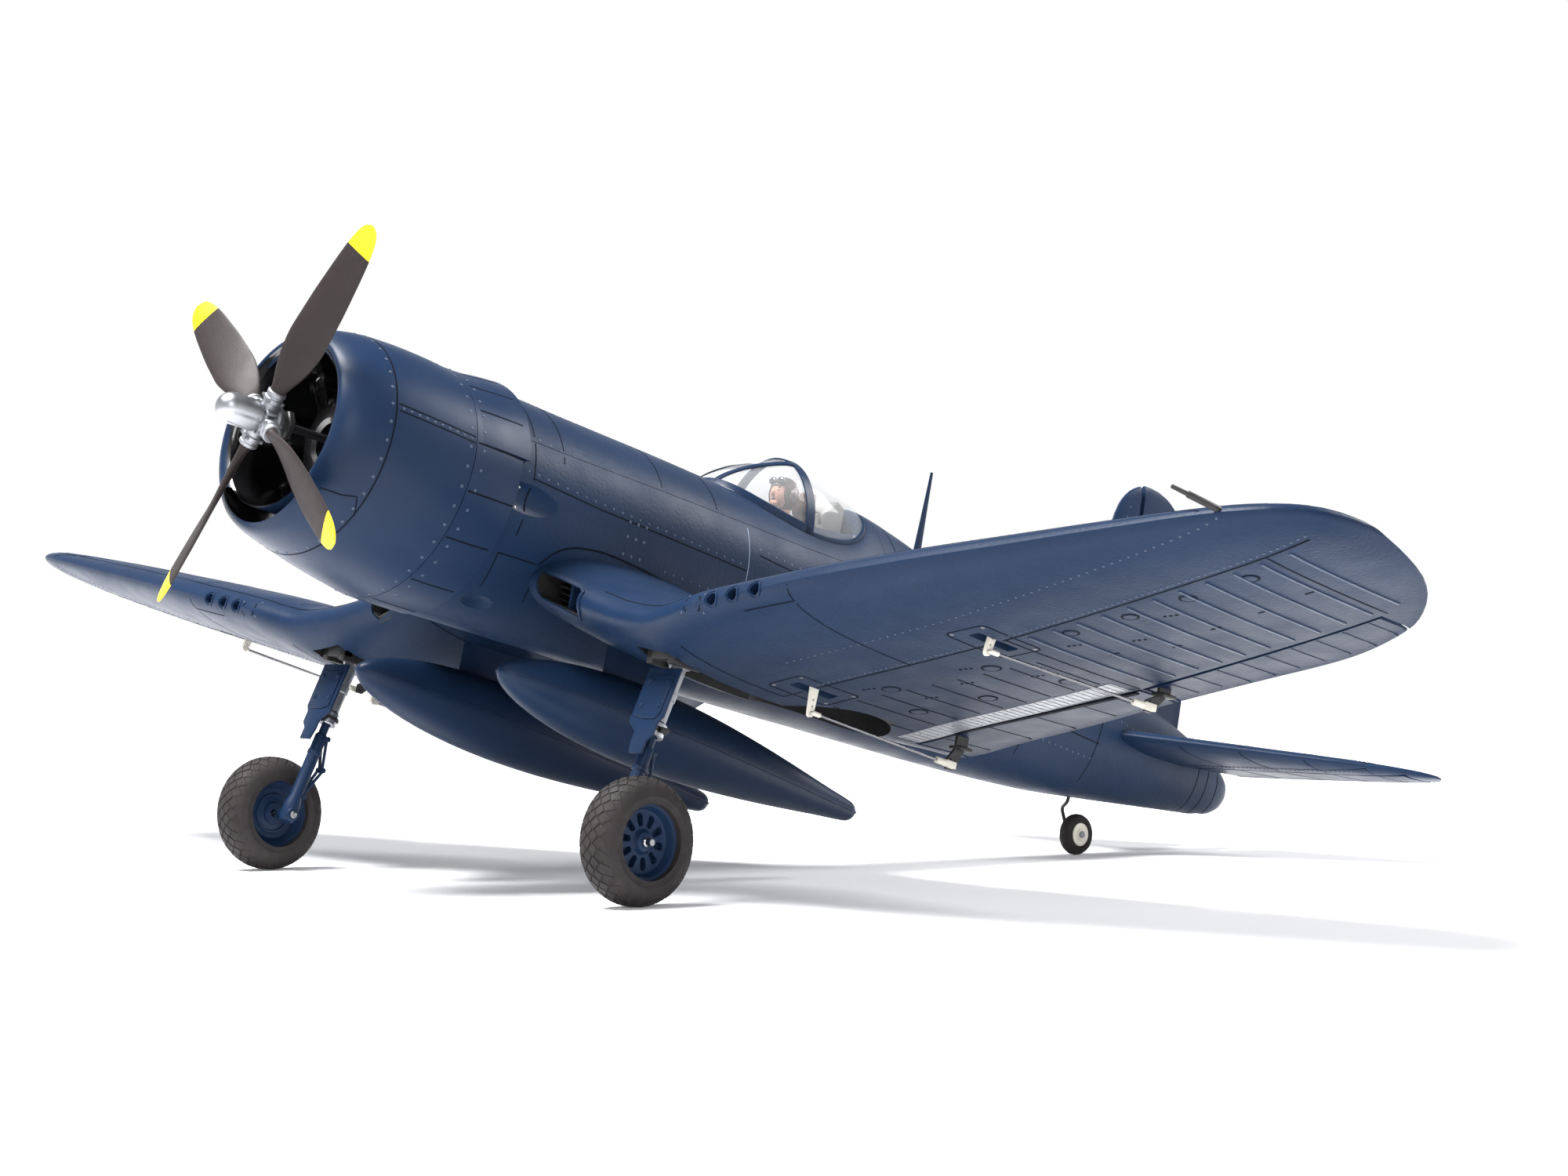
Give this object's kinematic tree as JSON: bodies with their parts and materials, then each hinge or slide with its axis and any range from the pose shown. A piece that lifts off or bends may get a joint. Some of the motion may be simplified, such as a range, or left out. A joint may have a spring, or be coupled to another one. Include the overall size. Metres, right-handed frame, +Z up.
{
  "type": "radio-controlled warbird aeroplane",
  "caption": "Foam radio-controlled naval fighter with inverted gull wings, a four-blade propeller, retracting gear and lift-off canopy hatch.",
  "frame": {"origin": "middle of the whole aircraft's box, on the ground it stands on", "axes": "+X along the span to the left wing tip, +Z up; the nose points along -Y, pitched up 13 degrees on the gear"},
  "size_m": [1.22, 0.9322, 0.3886],
  "materials": {
    "navy_foam": "semi-matte sea-blue paint over moulded foam",
    "navy_plastic": "satin sea-blue paint over moulded plastic",
    "black_plastic": "gloss black moulding",
    "dark_plastic": "fine-grained black nylon",
    "battery_wrap": "heat-shrink film",
    "receiver_case": "grey moulded case",
    "carbon_tube": "satin carbon fibre",
    "clear_plastic": "clear vacuum-formed sheet",
    "cockpit_grey": "matt warm grey paint",
    "pilot_paint": "matt hand-painted plastic",
    "polished_metal": "bright metallised plastic",
    "steel": "plain turned steel",
    "motor_case": "dark anodised",
    "blade_plastic": "semi-matte dark brown-grey with yellow tips",
    "tyre_rubber": "dark brown-grey rubber with a diamond tread",
    "white_nylon": "ivory nylon",
    "black_wire": "blackened music wire"
  },
  "bodies": {
    "airframe": {"fuselage": "navy_foam", "cowl": "navy_plastic", "cowl_flaps": "navy_plastic", "dummy_engine": "black_plastic", "motor_mount": "dark_plastic", "battery": "battery_wrap", "speed_controller": "dark_plastic", "receiver": "receiver_case", "tail_servos": "dark_plastic", "wing_spar": "carbon_tube", "antenna_mast": "navy_plastic", "pitot_tube": "dark_plastic", "left_wing": "navy_foam", "right_wing": "navy_foam", "left_stabilizer": "navy_foam", "right_stabilizer": "navy_foam", "left_drop_tank": "navy_plastic", "right_drop_tank": "navy_plastic", "left_retract_unit": "dark_plastic", "right_retract_unit": "dark_plastic"},
    "propeller": {"spinner_dome": "polished_metal", "prop_hub": "polished_metal", "motor_can": "motor_case", "propeller_blade_1": "blade_plastic", "propeller_blade_2": "blade_plastic", "propeller_blade_3": "blade_plastic", "propeller_blade_4": "blade_plastic"},
    "hatch": {"hatch": "navy_foam", "canopy_glass": "clear_plastic", "canopy_frame": "navy_plastic", "cockpit_tub": "cockpit_grey", "pilot": "pilot_paint"},
    "elevator": {"elevator": "navy_foam"},
    "rudder": {"rudder": "navy_foam"},
    "tail_strut": {"tail_strut": "black_wire"},
    "tail_wheel": {"tail_wheel": "tyre_rubber"},
    "left_aileron": {"left_aileron": "navy_foam"},
    "left_flap": {"left_flap": "navy_foam"},
    "left_aileron_arm": {"left_aileron_arm": "white_nylon"},
    "left_flap_arm": {"left_flap_arm": "white_nylon"},
    "left_aileron_pushrod": {"left_aileron_pushrod": "steel"},
    "left_flap_pushrod": {"left_flap_pushrod": "steel"},
    "left_gear_leg": {"left_gear_strut": "steel", "left_gear_door": "navy_plastic"},
    "left_gear_twist": {"left_gear_collar": "steel"},
    "left_gear_lower": {"left_gear_piston": "navy_plastic"},
    "left_wheel": {"left_tyre": "tyre_rubber", "left_wheel_hub": "navy_plastic"},
    "right_aileron": {"right_aileron": "navy_foam"},
    "right_flap": {"right_flap": "navy_foam"},
    "right_aileron_arm": {"right_aileron_arm": "white_nylon"},
    "right_flap_arm": {"right_flap_arm": "white_nylon"},
    "right_aileron_pushrod": {"right_aileron_pushrod": "steel"},
    "right_flap_pushrod": {"right_flap_pushrod": "steel"},
    "right_gear_leg": {"right_gear_strut": "steel", "right_gear_door": "navy_plastic"},
    "right_gear_twist": {"right_gear_collar": "steel"},
    "right_gear_lower": {"right_gear_piston": "navy_plastic"},
    "right_wheel": {"right_tyre": "tyre_rubber", "right_wheel_hub": "navy_plastic"}
  },
  "joints": [
    {"name": "propeller_spin", "type": "hinge", "parent": "airframe", "child": "propeller", "pos_m": [0, -0.46598, 0.28754], "axis": [0.0523, 0.973, -0.2246], "continuous": true},
    {"name": "hatch_lift", "type": "slide", "parent": "airframe", "child": "hatch", "axis": [0, 0.225, 0.9744], "range_m": [0, 0.08]},
    {"name": "elevator_hinge", "type": "hinge", "parent": "airframe", "child": "elevator", "pos_m": [0, 0.40008, 0.06912], "axis": [1, 0, 0], "range_deg": [-20, 20]},
    {"name": "rudder_hinge", "type": "hinge", "parent": "airframe", "child": "rudder", "pos_m": [0, 0.33968, 0.16312], "axis": [0, 0.225, 0.9744], "range_deg": [-25, 25]},
    {"name": "tail_steering", "type": "hinge", "parent": "airframe", "child": "tail_strut", "pos_m": [0, 0.28487, 0.04132], "axis": [0, 0.225, 0.9744], "range_deg": [-25, 25]},
    {"name": "tail_wheel_spin", "type": "hinge", "parent": "tail_strut", "child": "tail_wheel", "pos_m": [0, 0.29428, 0.0154], "axis": [1, 0, 0], "continuous": true},
    {"name": "left_aileron_hinge", "type": "hinge", "parent": "airframe", "child": "left_aileron", "pos_m": [0.376, -0.08031, 0.13102], "axis": [0.9666, -0.1505, 0.2075], "range_deg": [-20, 20]},
    {"name": "left_flap_hinge", "type": "hinge", "parent": "airframe", "child": "left_flap", "pos_m": [0.186, -0.07079, 0.0922], "axis": [-0.9829, 0.0572, -0.1751], "range_deg": [0, 45]},
    {"name": "left_aileron_servo", "type": "hinge", "parent": "airframe", "child": "left_aileron_arm", "pos_m": [0.366, -0.19681, 0.1634], "axis": [0.9666, -0.1505, 0.2075], "range_deg": [-20, 20]},
    {"name": "left_flap_servo", "type": "hinge", "parent": "airframe", "child": "left_flap_arm", "pos_m": [0.218, -0.19133, 0.13022], "axis": [-0.9829, 0.0572, -0.1751], "range_deg": [0, 45]},
    {"name": "left_aileron_clevis", "type": "hinge", "parent": "left_aileron_arm", "child": "left_aileron_pushrod", "pos_m": [0.366, -0.20453, 0.14774], "axis": [0.9666, -0.1505, 0.2075], "range_deg": [-20, 20]},
    {"name": "left_flap_clevis", "type": "hinge", "parent": "left_flap_arm", "child": "left_flap_pushrod", "pos_m": [0.218, -0.19572, 0.11122], "axis": [-0.9829, 0.0572, -0.1751], "range_deg": [-45, 0]},
    {"name": "left_gear_retract", "type": "hinge", "parent": "airframe", "child": "left_gear_leg", "pos_m": [0.165, -0.2501, 0.1402], "axis": [1, 0, 0], "range_deg": [0, 93.5]},
    {"name": "left_wheel_twist", "type": "hinge", "parent": "left_gear_leg", "child": "left_gear_twist", "pos_m": [0.165, -0.2501, 0.1402], "axis": [0, 0.447, 0.8945], "range_deg": [0, 90]},
    {"name": "left_oleo", "type": "slide", "parent": "left_gear_twist", "child": "left_gear_lower", "axis": [0, 0.447, 0.8945], "range_m": [0, 0.005], "stiffness_N_per_m": 2500, "springref_m": -0.005},
    {"name": "left_wheel_spin", "type": "hinge", "parent": "left_gear_lower", "child": "left_wheel", "pos_m": [0.1866, -0.30141, 0.0375], "axis": [1, 0, 0], "continuous": true},
    {"name": "right_aileron_hinge", "type": "hinge", "parent": "airframe", "child": "right_aileron", "pos_m": [-0.376, -0.08031, 0.13102], "axis": [0.9666, 0.1505, -0.2075], "range_deg": [-20, 20]},
    {"name": "right_flap_hinge", "type": "hinge", "parent": "airframe", "child": "right_flap", "pos_m": [-0.186, -0.07079, 0.0922], "axis": [-0.9829, -0.0572, 0.1751], "range_deg": [0, 45]},
    {"name": "right_aileron_servo", "type": "hinge", "parent": "airframe", "child": "right_aileron_arm", "pos_m": [-0.366, -0.19681, 0.1634], "axis": [0.9666, 0.1505, -0.2075], "range_deg": [-20, 20]},
    {"name": "right_flap_servo", "type": "hinge", "parent": "airframe", "child": "right_flap_arm", "pos_m": [-0.218, -0.19133, 0.13022], "axis": [-0.9829, -0.0572, 0.1751], "range_deg": [0, 45]},
    {"name": "right_aileron_clevis", "type": "hinge", "parent": "right_aileron_arm", "child": "right_aileron_pushrod", "pos_m": [-0.366, -0.20453, 0.14774], "axis": [0.9666, 0.1505, -0.2075], "range_deg": [-20, 20]},
    {"name": "right_flap_clevis", "type": "hinge", "parent": "right_flap_arm", "child": "right_flap_pushrod", "pos_m": [-0.218, -0.19572, 0.11122], "axis": [-0.9829, -0.0572, 0.1751], "range_deg": [-45, 0]},
    {"name": "right_gear_retract", "type": "hinge", "parent": "airframe", "child": "right_gear_leg", "pos_m": [-0.165, -0.2501, 0.1402], "axis": [1, 0, 0], "range_deg": [0, 93.5]},
    {"name": "right_wheel_twist", "type": "hinge", "parent": "right_gear_leg", "child": "right_gear_twist", "pos_m": [-0.165, -0.2501, 0.1402], "axis": [0, -0.447, -0.8945], "range_deg": [0, 90]},
    {"name": "right_oleo", "type": "slide", "parent": "right_gear_twist", "child": "right_gear_lower", "axis": [0, 0.447, 0.8945], "range_m": [0, 0.005], "stiffness_N_per_m": 2500, "springref_m": -0.005},
    {"name": "right_wheel_spin", "type": "hinge", "parent": "right_gear_lower", "child": "right_wheel", "pos_m": [-0.1866, -0.30141, 0.0375], "axis": [1, 0, 0], "continuous": true}
  ],
  "couplings": [
    {"joint": "tail_steering", "follows": "rudder_hinge", "ratio": 1},
    {"joint": "left_aileron_servo", "follows": "left_aileron_hinge", "ratio": 1},
    {"joint": "left_flap_servo", "follows": "left_flap_hinge", "ratio": 1},
    {"joint": "left_aileron_clevis", "follows": "left_aileron_hinge", "ratio": -1},
    {"joint": "left_flap_clevis", "follows": "left_flap_hinge", "ratio": -1},
    {"joint": "left_wheel_twist", "follows": "left_gear_retract", "ratio": 0.96257},
    {"joint": "right_aileron_hinge", "follows": "left_aileron_hinge", "ratio": -1},
    {"joint": "right_flap_hinge", "follows": "left_flap_hinge", "ratio": 1},
    {"joint": "right_aileron_servo", "follows": "left_aileron_hinge", "ratio": -1},
    {"joint": "right_flap_servo", "follows": "left_flap_hinge", "ratio": 1},
    {"joint": "right_aileron_clevis", "follows": "left_aileron_hinge", "ratio": 1},
    {"joint": "right_flap_clevis", "follows": "left_flap_hinge", "ratio": -1},
    {"joint": "right_gear_retract", "follows": "left_gear_retract", "ratio": 1},
    {"joint": "right_wheel_twist", "follows": "left_gear_retract", "ratio": 0.96257}
  ]
}
